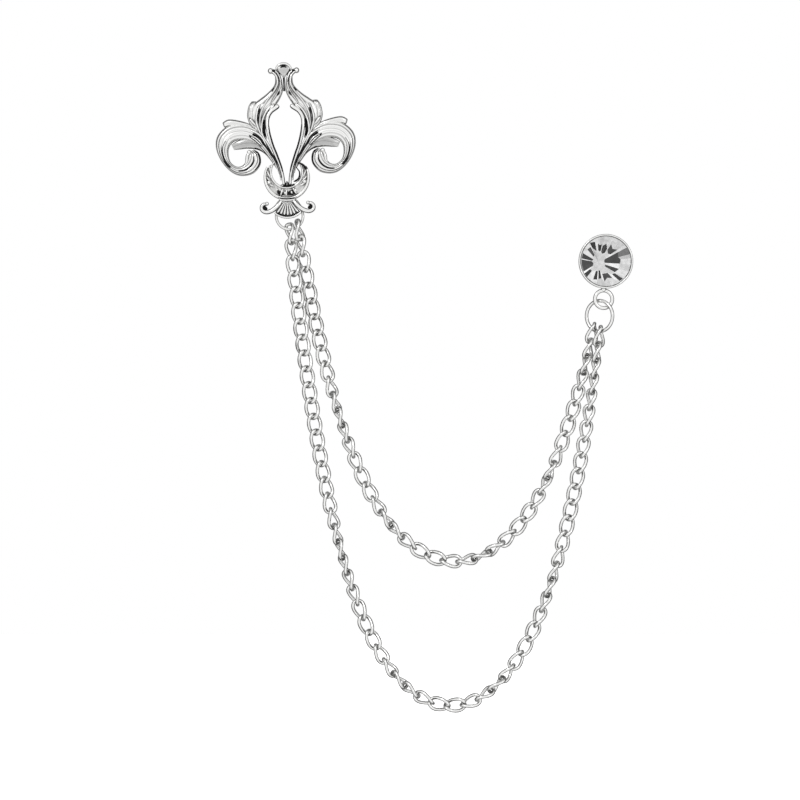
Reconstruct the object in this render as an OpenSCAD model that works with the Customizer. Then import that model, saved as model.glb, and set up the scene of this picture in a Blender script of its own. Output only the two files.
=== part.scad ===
// Lapel chain: a cast fleur-de-lis brooch and a round crystal stud, joined by two hanging curb-chain swags.
// X is to the viewer's right, Z is up and -Y is towards the viewer. The lapel's cloth is the plane Y = 0.
// The origin is on the cloth, on the axis of the brooch's post.

/* [Brooch] */
// Distance from the lapel to the flat back of the casting
brooch_standoff = 1.5; // [1.5:0.1:1.6]
// Lean of the brooch to the left as it hangs, in degrees
brooch_lean = 1.7; // [0:0.1:3]
// Thickness of the casting at its edges
edge_t = 0.7; // [0.5:0.1:0.9]
// Outer radius of the crescent collar
collar_r = 4.7; // [4.5:0.1:4.8]
// Diameter of the hidden post
post_d = 1.0; // [0.9:0.1:1.2]
// Length of the hidden post behind the lapel plane
post_l = 8; // [6:0.5:10]

/* [Rings] */
// Wire of the brooch's ring
brooch_ring_wire = 0.55; // [0.5:0.05:0.6]
// Centreline radius of the brooch's ring
brooch_ring_r = 2.67; // [2.6:0.01:2.7]
// Wire of the stud's ring
stud_ring_wire = 0.72; // [0.65:0.01:0.75]
// Centreline radius of the stud's ring
stud_ring_r = 3.07; // [3:0.01:3.1]
// Turn of the stud's ring about the vertical, in degrees
stud_ring_turn = 34; // [33:1:36]

/* [Chain] */
// Wire of the chain's links
link_wire = 0.6; // [0.56:0.02:0.62]
// Distance from one joint of the chain to the next
link_pitch = 3.2; // [3.18:0.01:3.22]
// Width of a link
link_w = 3.0; // [2.9:0.05:3.1]
// Play between the wires of two linked links
link_play = 0.22; // [0.2:0.01:0.24]
// Twist of a link from end to end, in degrees
link_twist = -90; // [-94:1:-86]
// Links in the outer strand
outer_links = 60; // [60:1:60]
// Links in the inner strand
inner_links = 43; // [43:1:43]

/* [Stud] */
// Outer radius of the stone's cup
cup_r = 5.45; // [5.4:0.05:5.5]
// Height of the cup's rim above the lapel
cup_h = 3.6; // [3.4:0.1:3.8]
// Radius of the stone
stone_r = 5.05; // [5:0.01:5.08]
// Wire of the soldered loop
loop_wire = 0.78; // [0.7:0.02:0.8]
// Centreline radius of the soldered loop
loop_r = 1.76; // [1.74:0.01:1.8]

/* [Hidden] */
exact_fn = 48;
hull_fn = 6;
silver = "silver";

// Places on the lapel, as [x, z] from the origin
brooch_ring_at = [0.48, -5.6];
stud_ring_at = [62.5, -25.6];
stud_at = [63.74, -14.66];
loop_at = [63.3, -22.25];
// Depths of the ring planes
brooch_ring_y = -1.19;
loop_y = -2.4;
stud_ring_y = -2.07;
// The brooch's ring leans forward off the cloth, and the soldered loop is turned a little the other way
brooch_ring_tilt = 4;
loop_turn = -8;

// Plain helper functions

function sinh(v) = (exp(v) - exp(-v)) / 2;
function cosh(v) = (exp(v) + exp(-v)) / 2;
function asinh(v) = ln(v + sqrt(v * v + 1));
function unit(v) = v / norm(v);
// Smooth step between the rows of a table whose first column is the position
function table_at(table, s, row = 0) =
    s <= table[0][0] ? table[0][1]
    : row >= len(table) - 1 ? table[len(table) - 1][1]
    : s > table[row + 1][0] ? table_at(table, s, row + 1)
    : let(t = (s - table[row][0]) / (table[row + 1][0] - table[row][0]))
      table[row][1] + (table[row + 1][1] - table[row][1]) * t * t * (3 - 2 * t);
// Catmull-Rom curve through the rows of a table, steps points for each span
function spline_row(a, b, c, d, t) =
    (2 * b + (c - a) * t + (2 * a - 5 * b + 4 * c - d) * t * t + (3 * b - a - 3 * c + d) * t * t * t) / 2;
function spline(rows, steps) =
    let(last = len(rows) - 1)
    [for (i = [0 : last - 1])
        for (k = [0 : steps - (i < last - 1 ? 1 : 0)])
            spline_row(rows[max(i - 1, 0)], rows[i], rows[i + 1], rows[min(i + 2, last)], k / steps)];

// A skin over a grid of points: stations along the piece, closed at both ends
function grid_faces(stations, around) = concat(
    [for (i = [0 : stations - 2])
        for (k = [0 : around - 1])
            let(p = i * around + k, q = i * around + (k + 1) % around)
            each [[p, q, q + around], [p, q + around, p + around]]],
    [[for (k = [around - 1 : -1 : 0]) k]],
    [[for (k = [0 : around - 1]) (stations - 1) * around + k]]
);
function turned_over(faces) = [for (f = faces) [for (k = [len(f) - 1 : -1 : 0]) f[k]]];
// True where the second edge of a leaf lies to the right of the way it grows
function grows_right(a, b) =
    (a[2] - a[0]) * (b[1] + b[3] - a[1] - a[3]) > (a[3] - a[1]) * (b[0] + b[2] - a[0] - a[2]);

// Height of a fluted leaf across its width, u from 0 at one edge to 1 at the other
function flute_height(u, crest, flutes, depth) =
    edge_t + (crest - edge_t) * pow(sin(180 * u), 0.6) * (1 - depth * (1 - abs(sin(180 * flutes * u))));

// A leaf cast in relief on the flat back, from rows of
// [x of one edge, z of that edge, x of the other edge, z of that edge, height of the crest]
module leaf(rows, flutes = 3, depth = 0.55, steps = 2, per_flute = 2) {
    stations = spline(rows, steps);
    across = flutes * per_flute;
    points = [for (s = stations)
        each concat(
            [for (k = [0 : across])
                let(u = k / across)
                [s[0] + (s[2] - s[0]) * u, -flute_height(u, s[4], flutes, depth), s[1] + (s[3] - s[1]) * u]],
            [[s[2], 0, s[3]], [s[0], 0, s[1]]])];
    faces = grid_faces(len(stations), across + 3);
    polyhedron(points, grows_right(rows[0], rows[1]) ? turned_over(faces) : faces, convexity = 6);
}

// A round-backed rib laid along a path, from rows of [x, z, half width, height of the crest]
module rib(rows, steps = 2) {
    stations = spline(rows, steps);
    last = len(stations) - 1;
    points = [for (i = [0 : last])
        let(s = stations[i],
            ahead = stations[min(i + 1, last)],
            behind = stations[max(i - 1, 0)],
            along = unit([ahead[0] - behind[0], ahead[1] - behind[1]]),
            nx = -along[1] * s[2],
            nz = along[0] * s[2])
        each [[s[0] + nx, 0, s[1] + nz],
              [s[0] + nx, -s[3] * 0.7, s[1] + nz],
              [s[0], -s[3], s[1]],
              [s[0] - nx, -s[3] * 0.7, s[1] - nz],
              [s[0] - nx, 0, s[1] - nz]]];
    polyhedron(points, turned_over(grid_faces(len(stations), 5)), convexity = 6);
}

// A round bead standing on the casting's back
module bead(x, z, r, height) {
    hull() {
        translate([x, -height + r, z]) sphere(r, $fn = hull_fn);
        translate([x, -0.2, z]) rotate([90, 0, 0]) cylinder(0.2, r = r * 0.8, $fn = hull_fn);
    }
}

// The brooch's leaves, right half: rows run from the root of each leaf to its tip

// Columns: inner edge x, inner edge z, outer edge x, outer edge z, crest height
petal_rows = [
    [3.0, 9.0, 3.9, 9.4, 1.7],
    [3.5, 10.6, 5.6, 11.2, 2.0],
    [3.6, 12.6, 6.7, 13.0, 2.1],
    [3.3, 14.4, 6.8, 15.2, 2.2],
    [2.4, 15.9, 6.2, 16.9, 2.3],
    [1.55, 16.9, 5.1, 17.8, 2.3],
    [0.85, 18.0, 3.7, 18.8, 2.2],
    [0.3, 19.3, 2.5, 19.9, 2.2],
    [0.3, 20.7, 1.85, 20.9, 2.2],
    [0.5, 22.0, 1.75, 22.2, 2.1],
    [1.0, 23.3, 1.9, 22.7, 1.9],
    [2.2, 23.9, 2.4, 23.1, 1.6]
];
petal_lobe_rows = [
    [4.7, 10.6, 5.3, 10.4, 1.5],
    [5.5, 12.4, 6.7, 12.2, 1.9],
    [6.0, 14.0, 7.5, 14.1, 2.1],
    [6.0, 15.6, 7.45, 15.7, 2.1],
    [5.7, 17.0, 6.95, 17.0, 1.9],
    [5.8, 17.55, 6.3, 17.55, 1.3]
];
scroll_rows = [
    [0.9, 1.2, 0.5, 1.5, 1.9],
    [2.0, 3.7, 1.2, 4.2, 2.1],
    [3.2, 5.8, 2.2, 6.9, 2.3],
    [4.6, 7.6, 3.5, 9.6, 2.4],
    [6.3, 9.3, 5.4, 11.9, 2.4],
    [8.4, 10.0, 8.0, 13.2, 2.3],
    [10.3, 9.7, 11.2, 13.0, 2.4],
    [11.2, 8.6, 13.5, 11.0, 2.5],
    [11.5, 7.1, 14.0, 8.6, 2.5],
    [11.1, 5.5, 13.1, 5.9, 2.4],
    [10.0, 4.6, 11.3, 3.7, 2.4],
    [8.9, 4.7, 9.2, 2.7, 2.4],
    [8.1, 5.5, 6.7, 3.1, 2.5],
    [7.75, 6.4, 5.15, 4.9, 2.5],
    [7.6, 7.0, 5.3, 6.8, 2.3],
    [7.5, 7.3, 6.4, 7.9, 1.8]
];
scroll_lobe_rows = [
    [5.4, 10.9, 5.0, 11.4, 1.6],
    [7.1, 12.0, 6.9, 12.9, 2.0],
    [9.1, 12.5, 9.0, 13.7, 2.2],
    [11.0, 12.7, 11.2, 14.05, 2.1],
    [12.1, 12.5, 12.4, 13.5, 1.7],
    [12.35, 12.8, 12.45, 13.1, 1.1]
];
inner_leaf_rows = [
    [2.7, 5.0, 2.6, 6.2, 1.1],
    [4.2, 6.9, 3.8, 8.6, 1.3],
    [5.8, 7.85, 5.4, 9.8, 1.4],
    [7.6, 8.1, 7.4, 10.3, 1.4],
    [9.2, 8.0, 9.4, 9.8, 1.4],
    [10.4, 7.95, 10.9, 9.0, 1.1]
];
foot_leaf_rows = [
    [1.2, -2.4, 1.5, -2.3, 1.6],
    [1.7, -3.2, 2.5, -2.9, 1.9],
    [2.3, -4.0, 3.1, -3.7, 1.8],
    [3.0, -4.8, 3.3, -4.7, 1.3]
];

// Columns: x, z, half width, crest height
inner_stem_rows = [
    [0.6, 0.7, 0.3, 2.5],
    [0.82, 2.6, 0.3, 2.7],
    [1.3, 4.7, 0.32, 2.8],
    [2.1, 6.9, 0.35, 2.9],
    [3.0, 9.4, 0.38, 2.9],
    [3.5, 11.7, 0.4, 2.8],
    [3.5, 13.6, 0.4, 2.7],
    [2.8, 15.3, 0.38, 2.6],
    [1.5, 16.4, 0.3, 2.3]
];
scroll_vein_rows = [
    [1.15, 1.9, 0.25, 2.5],
    [1.9, 4.4, 0.3, 2.8],
    [2.9, 6.9, 0.34, 3.0],
    [4.0, 9.2, 0.36, 3.1],
    [5.5, 11.1, 0.32, 2.9],
    [7.4, 12.2, 0.22, 2.5]
];
petal_vein_rows = [
    [4.0, 9.6, 0.28, 2.6],
    [5.0, 12.2, 0.32, 2.9],
    [4.8, 15.0, 0.32, 3.0],
    [3.6, 17.3, 0.3, 3.0],
    [1.9, 19.3, 0.3, 3.0],
    [1.15, 21.2, 0.32, 3.0],
    [1.5, 22.8, 0.34, 2.8],
    [2.5, 23.5, 0.4, 2.3]
];
foot_volute_rows = [
    [1.1, -2.5, 0.32, 2.2],
    [2.0, -3.5, 0.34, 2.4],
    [3.1, -4.35, 0.36, 2.4],
    [4.3, -4.6, 0.4, 2.3],
    [5.2, -4.1, 0.36, 2.2],
    [5.2, -3.3, 0.32, 2.1],
    [4.4, -2.95, 0.3, 2.0],
    [3.9, -3.4, 0.22, 1.8]
];

// One half of the brooch, drawn with its flat back on Y = 0
module brooch_half() {
    leaf(petal_rows, steps = 1);
    leaf(petal_lobe_rows, flutes = 1, per_flute = 4, steps = 1);
    leaf(scroll_rows);
    leaf(scroll_lobe_rows, flutes = 1, per_flute = 4, steps = 1);
    leaf(inner_leaf_rows, flutes = 1, per_flute = 4, steps = 1);
    leaf(foot_leaf_rows, flutes = 1, per_flute = 4, steps = 1);
    rib(inner_stem_rows, steps = 1);
    rib(scroll_vein_rows, steps = 1);
    rib(petal_vein_rows, steps = 1);
    rib(foot_volute_rows);
    bead(2.65, 23.55, 0.55, 2.2);
    bead(7.3, 7.35, 0.5, 2.3);
    bead(3.6, 1.2, 0.32, 2.3);
    bead(3.0, 4.6, 0.4, 2.0);
}

// The crescent collar: a round plate whose horns are drawn in by a second circle, with a raised rim
// round a sunk band of small chased ribs
collar_z = 2.2;
collar_t = 2.2;
horn_z = 1.04;
horn_r = collar_r + 0.09;
collar_hole_r = 2.93;
collar_hole_z = 3.2;
collar_top = 4.85;
collar_rim = 0.55;
band_t = 1.7;
collar_ribs = 5;
collar_rib_step = 17;
collar_rib_r = 0.28;
collar_rib_ends = [2.9, 3.7];
collar_fn = 28;
module collar_outline(inset) {
    difference() {
        intersection() {
            translate([0, collar_z]) circle(collar_r - inset, $fn = collar_fn);
            translate([0, horn_z]) circle(horn_r - inset, $fn = collar_fn);
        }
        translate([0, collar_hole_z]) circle(collar_hole_r + inset, $fn = collar_fn);
        translate([-collar_r, collar_top - inset]) square([2 * collar_r, collar_r]);
    }
}
module collar() {
    difference() {
        rotate([90, 0, 0]) linear_extrude(collar_t) collar_outline(0);
        translate([0, -band_t, 0]) rotate([90, 0, 0]) linear_extrude(collar_t) collar_outline(collar_rim);
    }
    for (k = [0 : collar_ribs - 1]) {
        turn = (k - (collar_ribs - 1) / 2) * collar_rib_step;
        hull() {
            for (reach = collar_rib_ends) {
                translate([reach * sin(turn), -band_t, collar_z + 0.15 - reach * cos(turn)])
                    sphere(collar_rib_r, $fn = hull_fn);
            }
        }
    }
}

// The shell foot: a fan of ribs over a plate, with a rim under it and a neck bar over it
shell_top = -2.0;
shell_t = 1.3;
shell_r = 4.15;
shell_half_angle = 38;
shell_ribs = 7;
shell_rib_y = -1.45;
shell_rib_root = [0.9, 0.2];
shell_rib_tip = [3.3, 0.36];
shell_rim_w = 0.42;
shell_rim_t = 1.75;
neck_bar = [3, 1.9, 0.5];
module shell_foot() {
    rotate([90, 0, 0]) linear_extrude(shell_t)
        intersection() {
            translate([0, shell_top]) circle(shell_r, $fn = collar_fn);
            polygon([[-1.4, shell_top], [1.4, shell_top], [4.0, -7], [-4.0, -7]]);
        }
    for (k = [0 : shell_ribs - 1]) {
        turn = (k / (shell_ribs - 1) - 0.5) * 2 * (shell_half_angle - 5);
        hull() {
            for (end = [shell_rib_root, shell_rib_tip]) {
                translate([end[0] * sin(turn), shell_rib_y, shell_top - end[0] * cos(turn)])
                    sphere(end[1], $fn = hull_fn);
            }
        }
    }
    translate([0, 0, shell_top]) rotate([90, 0, 0]) rotate([0, 0, -90 - shell_half_angle])
        rotate_extrude(angle = 2 * shell_half_angle, $fn = collar_fn)
            translate([shell_r - shell_rim_w, 0]) square([shell_rim_w, shell_rim_t]);
    translate([-neck_bar[0] / 2, -neck_bar[1], shell_top - 0.55]) cube(neck_bar);
}

// The bud between the two curls of the finial, standing on a web between the petals' tips
bud_z = 24.25;
bud_r = 1.0;
bud_foot_z = 22.2;
bud_fn = 8;
bud_web = [1.2, 0.9, 3];
module finial_bud() {
    hull() {
        translate([0, -1.5, bud_z]) scale([1, 0.7, 1]) sphere(bud_r, $fn = bud_fn);
        translate([0, -1.4, bud_foot_z]) sphere(0.3, $fn = hull_fn);
        translate([0, -0.3, bud_z - 0.25]) rotate([90, 0, 0]) cylinder(0.3, r = bud_r * 0.9, $fn = bud_fn);
    }
    translate([-bud_web[0] / 2, -bud_web[1], 19.5]) cube(bud_web);
}

// The small web that closes the foot of the central opening, between the two stems
stem_web_size = [1.5, 1.3, 1.3];
module stem_web() {
    translate([-stem_web_size[0] / 2, -stem_web_size[1], 0]) cube(stem_web_size);
}

// The staple on the casting's back that the ring hangs in: its hole runs along X
staple_z = -2.95;
staple_w = 1.0;
staple_h = 1.7;
staple_reach = 1.3;
staple_hole = [0.95, 1.05];
staple_root = 0.3;
module staple() {
    difference() {
        translate([-staple_w / 2, -staple_root, staple_z - staple_h / 2])
            cube([staple_w, staple_reach + staple_root, staple_h]);
        translate([-staple_w, 0, staple_z - staple_hole[1] / 2])
            cube([staple_w * 2, staple_hole[0], staple_hole[1]]);
    }
}

module fleur_casting() {
    color(silver)
    translate([0, -brooch_standoff, 0])
    rotate([0, -brooch_lean, 0]) {
        union() {
            brooch_half();
            mirror([1, 0, 0]) brooch_half();
            collar();
            shell_foot();
            finial_bud();
            stem_web();
            staple();
        }
    }
}

// The hidden post: a round pad behind the casting and a post with a coned end
pad_gap = 0.06;
pad_r = 1.2;
pad_t = 0.5;
post_tip = 0.8;
module brooch_post() {
    color(silver)
    translate([0, -brooch_standoff + pad_gap, 0])
    rotate([-90, 0, 0])
    rotate_extrude($fn = exact_fn)
        polygon([[0, 0], [pad_r, 0], [pad_r, pad_t], [post_d / 2, pad_t],
                 [post_d / 2, brooch_standoff + post_l - post_tip], [0.1, brooch_standoff + post_l],
                 [0, brooch_standoff + post_l]]);
}

// A closed round ring of wire standing in the view plane, turned about the vertical or tilted forward
module wire_ring(centre, depth, r, wire, turn = 0, tilt = 0) {
    translate([centre[0], depth, centre[1]])
    rotate([-tilt, 0, -turn])
    rotate([90, 0, 0])
    rotate_extrude($fn = exact_fn)
        translate([r, 0]) circle(d = wire, $fn = 24);
}
module brooch_ring() {
    color(silver) wire_ring(brooch_ring_at, brooch_ring_y, brooch_ring_r, brooch_ring_wire, tilt = brooch_ring_tilt);
}
module stud_ring() {
    color(silver) wire_ring(stud_ring_at, stud_ring_y, stud_ring_r, stud_ring_wire, turn = stud_ring_turn);
}

// A hanging strand. Its joints lie on the catenary through its two seats, and a link spans two joints.
link_angles = [0, 26, 60, 120, 154, 180, 206, 240, 300, 334];
link_stations = len(link_angles);
link_sides = 5;
link_roundness = 0.8;
link_half_l = (link_pitch + link_wire + link_play) / 2;
link_half_w = (link_w - link_wire) / 2;
function sag_root(ratio, low, high, n) =
    let(mid = (low + high) / 2)
    n == 0 ? mid
    : sinh(mid) / mid < ratio ? sag_root(ratio, mid, high, n - 1)
    : sag_root(ratio, low, mid, n - 1);
// Size of the catenary of length s across a span that rises by v over a width of h
function catenary_size(h, v, s) = h / (2 * sag_root(sqrt(s * s - v * v) / h, 0.01, 20, 40));
// Joints as [x, y, z]; depths is a table of [link, y]
function strand_joints(from, to, links, depths) =
    let(length = links * link_pitch,
        size = catenary_size(to[0] - from[0], to[1] - from[1], length),
        lowest_x = (from[0] + to[0]) / 2
            - size * ln((length + to[1] - from[1]) / (length - to[1] + from[1])) / 2,
        start_s = size * sinh((from[0] - lowest_x) / size),
        base_z = from[1] - size * cosh((from[0] - lowest_x) / size))
    [for (i = [0 : links])
        let(x = lowest_x + size * asinh((start_s + i * link_pitch) / size))
        [x, table_at(depths, i), base_z + size * cosh((x - lowest_x) / size)]];
// A point on the centreline of a link, in the link's own frame: along, across, towards the viewer
function rounded(v) = sign(v) * pow(abs(v), link_roundness);
function link_turn(t, roll) = roll + link_twist / 2 * rounded(cos(t));
function link_point(t, roll) =
    let(across = link_half_w * rounded(sin(t)),
        turn = link_turn(t, roll))
    [link_half_l * rounded(cos(t)), across * cos(turn), across * sin(turn)];
function link_normal(t, roll) =
    let(turn = link_turn(t, roll))
    [0, -sin(turn), cos(turn)];
// The points of one link between two joints
function link_points(from, to, roll) =
    let(middle = (from + to) / 2,
        ax = unit(to - from),
        side = unit(cross(ax, [0, -1, 0])),
        front = cross(side, ax))
    [for (i = [0 : link_stations - 1])
        let(t = link_angles[i],
            centre = link_point(t, roll),
            along = unit(link_point(t + 1, roll) - link_point(t - 1, roll)),
            rough = link_normal(t, roll),
            n1 = unit(rough - (rough * along) * along),
            n2 = cross(along, n1))
        for (k = [0 : link_sides - 1])
            let(p = centre + link_wire / 2 * (n1 * cos(k * 360 / link_sides) + n2 * sin(k * 360 / link_sides)))
            middle + p[0] * ax + p[1] * side + p[2] * front];
function link_faces(first) = [
    for (i = [0 : link_stations - 1])
        for (k = [0 : link_sides - 1])
            let(a = first + i * link_sides + k,
                b = first + i * link_sides + (k + 1) % link_sides,
                c = first + (i + 1) % link_stations * link_sides + (k + 1) % link_sides,
                d = first + (i + 1) % link_stations * link_sides + k)
            each [[a, c, b], [a, d, c]]];
module strand(from, to, links, rolls, depths) {
    joints = strand_joints(from, to, links, depths);
    points = [for (i = [0 : links - 1]) each link_points(joints[i], joints[i + 1], lookup(i + 0.5, rolls))];
    faces = [for (i = [0 : links - 1]) each link_faces(i * link_stations * link_sides)];
    polyhedron(points, faces, convexity = 10);
}

// Where each strand hangs in the two rings, as [x, z]
outer_from = [0.42, -7.58];
outer_to = [62.7, -28.1];
inner_from = [2.09, -6.81];
inner_to = [61.45, -27.47];
// Roll of the links as the chain turns along its length, as [link, degrees]: 0 lies open to the viewer
outer_rolls = [[0, 108], [1, 103], [2, 169], [3, 160], [4, 176], [8, 180], [14, 182], [17.5, 212],
               [20.5, 274], [23.5, 308], [26, 360], [30, 455], [37, 650], [40, 732], [43.5, 808],
               [47.5, 898], [50.5, 918], [53.5, 942], [56, 974], [58, 983], [outer_links, 1034]];
inner_rolls = [[0, 81], [1, 71], [2, 154], [3, 147], [4, 183], [5, 172], [7, 190], [9, 198],
               [11.5, 258], [12.5, 278], [15, 312], [23, 536], [28, 668], [35.5, 880], [37.5, 925],
               [39, 946], [41, 1001], [inner_links, 1041]];
// Depth of the joints, as [link, y]
outer_depths = [[0, -1.3], [1, -1.8], [3, -2.85], [6, -2.9], [9, -1.7], [50, -1.7], [54, -2.0],
                [57, -2.7], [outer_links, -2.23]];
inner_depths = [[0, -1.4], [1, -1.65], [2, -1.35], [4, -1.08], [6, -1.12], [8, -1.35], [11, -1.7],
                [34, -1.7], [38, -1.38], [41, -1.47], [inner_links, -1.32]];

module chain_outer() {
    color(silver) strand(outer_from, outer_to, outer_links, outer_rolls, outer_depths);
}
module chain_inner() {
    color(silver) strand(inner_from, inner_to, inner_links, inner_rolls, inner_depths);
}

// The stud: a turned cup with a thin rim, a post behind it and a wire loop soldered on its lower side
cup_floor = 1.0;
cup_seat = 2.3;
cup_wall = 0.32;
foot_r = 3.2;
foot_y = 0.1;
post_root = 0.5;
solder_r = 0.55;
module stone_setting() {
    color(silver) {
        translate([stud_at[0], 0, stud_at[1]]) {
            rotate([90, 0, 0]) rotate_extrude($fn = 64)
                polygon([[0, foot_y], [foot_r, foot_y], [cup_r - 0.5, 0.9], [cup_r, 1.6], [cup_r, cup_h - 0.2],
                         [cup_r - 0.15, cup_h], [cup_r - cup_wall, cup_h], [cup_r - cup_wall, cup_seat],
                         [2.0, cup_floor], [0, cup_floor]]);
            rotate([-90, 0, 0]) translate([0, 0, -post_root])
                cylinder(post_root + post_l - post_tip, d = post_d, $fn = exact_fn);
            rotate([-90, 0, 0]) translate([0, 0, post_l - post_tip])
                cylinder(post_tip, d1 = post_d, d2 = 0.2, $fn = exact_fn);
        }
        wire_ring(loop_at, loop_y, loop_r, loop_wire, turn = loop_turn);
        translate([loop_at[0], loop_y, loop_at[1] + loop_r + 0.2]) sphere(solder_r, $fn = exact_fn);
    }
}

// The crystal: a table, a ring of crown facets, a thin girdle and a coned pavilion
stone_girdle_y = 3.3;
table_r = 2.5;
table_h = 1.5;
girdle_t = 0.2;
crown_mid_r = 4.0;
crown_mid_h = 0.95;
pavilion_r = 3.3;
pavilion_h = -1.0;
culet_r = 0.6;
culet_y = 1.3;
facets = 8;
function facet_ring(r, h, turn, count) =
    [for (k = [0 : count - 1]) [r * cos(turn + k * 360 / count), -h, r * sin(turn + k * 360 / count)]];
stone_points = concat(
    facet_ring(table_r, stone_girdle_y + table_h, 0, facets),
    facet_ring(crown_mid_r, stone_girdle_y + crown_mid_h, 180 / facets, facets),
    facet_ring(stone_r, stone_girdle_y + girdle_t, 0, 2 * facets),
    facet_ring(stone_r, stone_girdle_y, 0, 2 * facets),
    facet_ring(pavilion_r, stone_girdle_y + pavilion_h, 180 / facets, facets),
    facet_ring(culet_r, culet_y, 0, facets));
module crystal_stone() {
    color("gainsboro")
    translate([stud_at[0], 0, stud_at[1]])
    hull() polyhedron(stone_points, [[for (i = [0 : len(stone_points) - 1]) i]]);
}

fleur_casting();
brooch_post();
brooch_ring();
chain_outer();
chain_inner();
stud_ring();
stone_setting();
crystal_stone();
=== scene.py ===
import math

import bpy
from mathutils import Matrix, Vector
from mathutils.bvhtree import BVHTree


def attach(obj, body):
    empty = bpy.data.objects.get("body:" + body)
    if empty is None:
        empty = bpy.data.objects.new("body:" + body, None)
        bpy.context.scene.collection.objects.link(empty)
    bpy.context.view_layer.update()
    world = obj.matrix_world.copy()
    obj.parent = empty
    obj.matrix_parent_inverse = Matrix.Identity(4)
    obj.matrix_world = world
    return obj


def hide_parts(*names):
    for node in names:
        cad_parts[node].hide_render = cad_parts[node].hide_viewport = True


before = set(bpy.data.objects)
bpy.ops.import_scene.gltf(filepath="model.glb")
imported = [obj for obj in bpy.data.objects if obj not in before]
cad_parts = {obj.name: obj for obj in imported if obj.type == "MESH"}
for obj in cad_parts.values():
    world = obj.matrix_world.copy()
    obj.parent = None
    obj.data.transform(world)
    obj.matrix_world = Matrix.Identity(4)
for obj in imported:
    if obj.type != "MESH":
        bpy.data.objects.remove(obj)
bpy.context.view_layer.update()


# The camera and the light. The piece was photographed square on through a long lens, before a white ground,
# with soft light from the front and the sides dark, so that bright metal gets thin dark lines at its edges.
mm = 0.001
view_centre = (22.58 * mm, -42.4 * mm)
view_width = 160 * mm
lens = 300
sensor = 36
middle_depth = 2.5 * mm
camera_distance = view_width * lens / sensor + middle_depth
floor_level = -160 * mm

bpy.ops.object.select_all(action="DESELECT")
bpy.ops.object.camera_add(location=(view_centre[0], -camera_distance, view_centre[1]),
                          rotation=(math.pi / 2, 0, 0))
camera = bpy.context.object
camera.name = "camera"
camera.data.lens = lens
camera.data.sensor_width = sensor
camera.data.clip_start = 0.05
camera.data.clip_end = 20
bpy.context.scene.camera = camera
bpy.context.scene.view_settings.view_transform = "Standard"

world = bpy.data.worlds.new("studio")
bpy.context.scene.world = world
world.use_nodes = True
nodes = world.node_tree.nodes
links = world.node_tree.links
nodes.clear()
direction = nodes.new("ShaderNodeTexCoord")
axes = nodes.new("ShaderNodeSeparateXYZ")
links.new(direction.outputs["Generated"], axes.inputs[0])
towards_viewer = nodes.new("ShaderNodeMapRange")
towards_viewer.inputs["From Min"].default_value = 1
towards_viewer.inputs["From Max"].default_value = -1
links.new(axes.outputs["Y"], towards_viewer.inputs["Value"])
bands = nodes.new("ShaderNodeValToRGB")
bands.color_ramp.interpolation = "EASE"
bands.color_ramp.elements[0].position = 0.0
bands.color_ramp.elements[0].color = (0.3, 0.3, 0.3, 1)
bands.color_ramp.elements[1].position = 1.0
bands.color_ramp.elements[1].color = (0.85, 0.85, 0.85, 1)
for place, grey in ((0.14, 0.38), (0.28, 0.12), (0.42, 0.02), (0.54, 0.1), (0.66, 0.68), (0.85, 1.05)):
    stop = bands.color_ramp.elements.new(place)
    stop.color = (grey, grey, grey, 1)
links.new(towards_viewer.outputs["Result"], bands.inputs["Fac"])
light_path = nodes.new("ShaderNodeLightPath")
seen_ground = nodes.new("ShaderNodeMix")
seen_ground.data_type = "RGBA"
seen_ground.inputs["B"].default_value = (1, 1, 1, 1)
links.new(bands.outputs["Color"], seen_ground.inputs["A"])
links.new(light_path.outputs["Is Camera Ray"], seen_ground.inputs["Factor"])
background = nodes.new("ShaderNodeBackground")
background.inputs["Strength"].default_value = 1.0
links.new(seen_ground.outputs["Result"], background.inputs["Color"])
world_out = nodes.new("ShaderNodeOutputWorld")
links.new(background.outputs[0], world_out.inputs["Surface"])

for name, place, aim, size, power in (
    ("key_light", (-0.3, -0.6, 0.4), (0.02, 0, -0.03), 0.22, 0.45),
    ("fill_light", (0.45, -0.6, 0.15), (0.02, 0, -0.05), 0.15, 0.12),
):
    bpy.ops.object.light_add(type="AREA", location=place)
    lamp = bpy.context.object
    lamp.name = name
    lamp.data.shape = "DISK"
    lamp.data.size = size
    lamp.data.energy = power
    lamp.rotation_euler = (Vector(aim) - Vector(place)).to_track_quat("-Z", "Y").to_euler()

bpy.ops.mesh.primitive_plane_add(size=4, location=(0, 0, floor_level))
floor = bpy.context.object
floor.name = "floor"
floor_paper = bpy.data.materials.new("floor_paper")
floor_paper.use_nodes = True
floor_shader = floor_paper.node_tree.nodes["Principled BSDF"]
floor_shader.inputs["Base Color"].default_value = (0.9, 0.9, 0.9, 1)
floor_shader.inputs["Roughness"].default_value = 0.9
floor_shader.inputs["Specular IOR Level"].default_value = 0.0
floor_shader.inputs["Emission Color"].default_value = (1, 1, 1, 1)
floor_shader.inputs["Emission Strength"].default_value = 1.0
floor.data.materials.append(floor_paper)
floor.visible_glossy = False


# The brooch's leaves. The real brooch is one cast piece of white metal with a bright silver plate: fluted
# leaves in relief on a flat back. Each leaf here starts as a grid that is laid out from root to tip, is
# extruded forward and raised to its flutes. The valleys between them carry a mark for the tarnish in them
# and for painted shade, and the same mark paints shade along some edges.
standoff = 1.5
lean = math.radians(1.7)
edge_height = 1.3
first_rise = 0.2
flute_round = 0.55
swell_round = 0.34
least_half = 0.02
line_fade = 1.6
ridge_line = 0.16
bead_foot = 0.02
bead_drawn = 0.6


def curve_point(p, q, r, s, t):
    """The value at t, 0 to 1, of a smooth curve from q to r, with p before and s after them."""
    slope = r - p
    bend = 2 * p - 5 * q + 4 * r - s
    turn = 3 * q - p - 3 * r + s
    return (2 * q + slope * t + bend * t * t + turn * t ** 3) / 2


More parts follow.
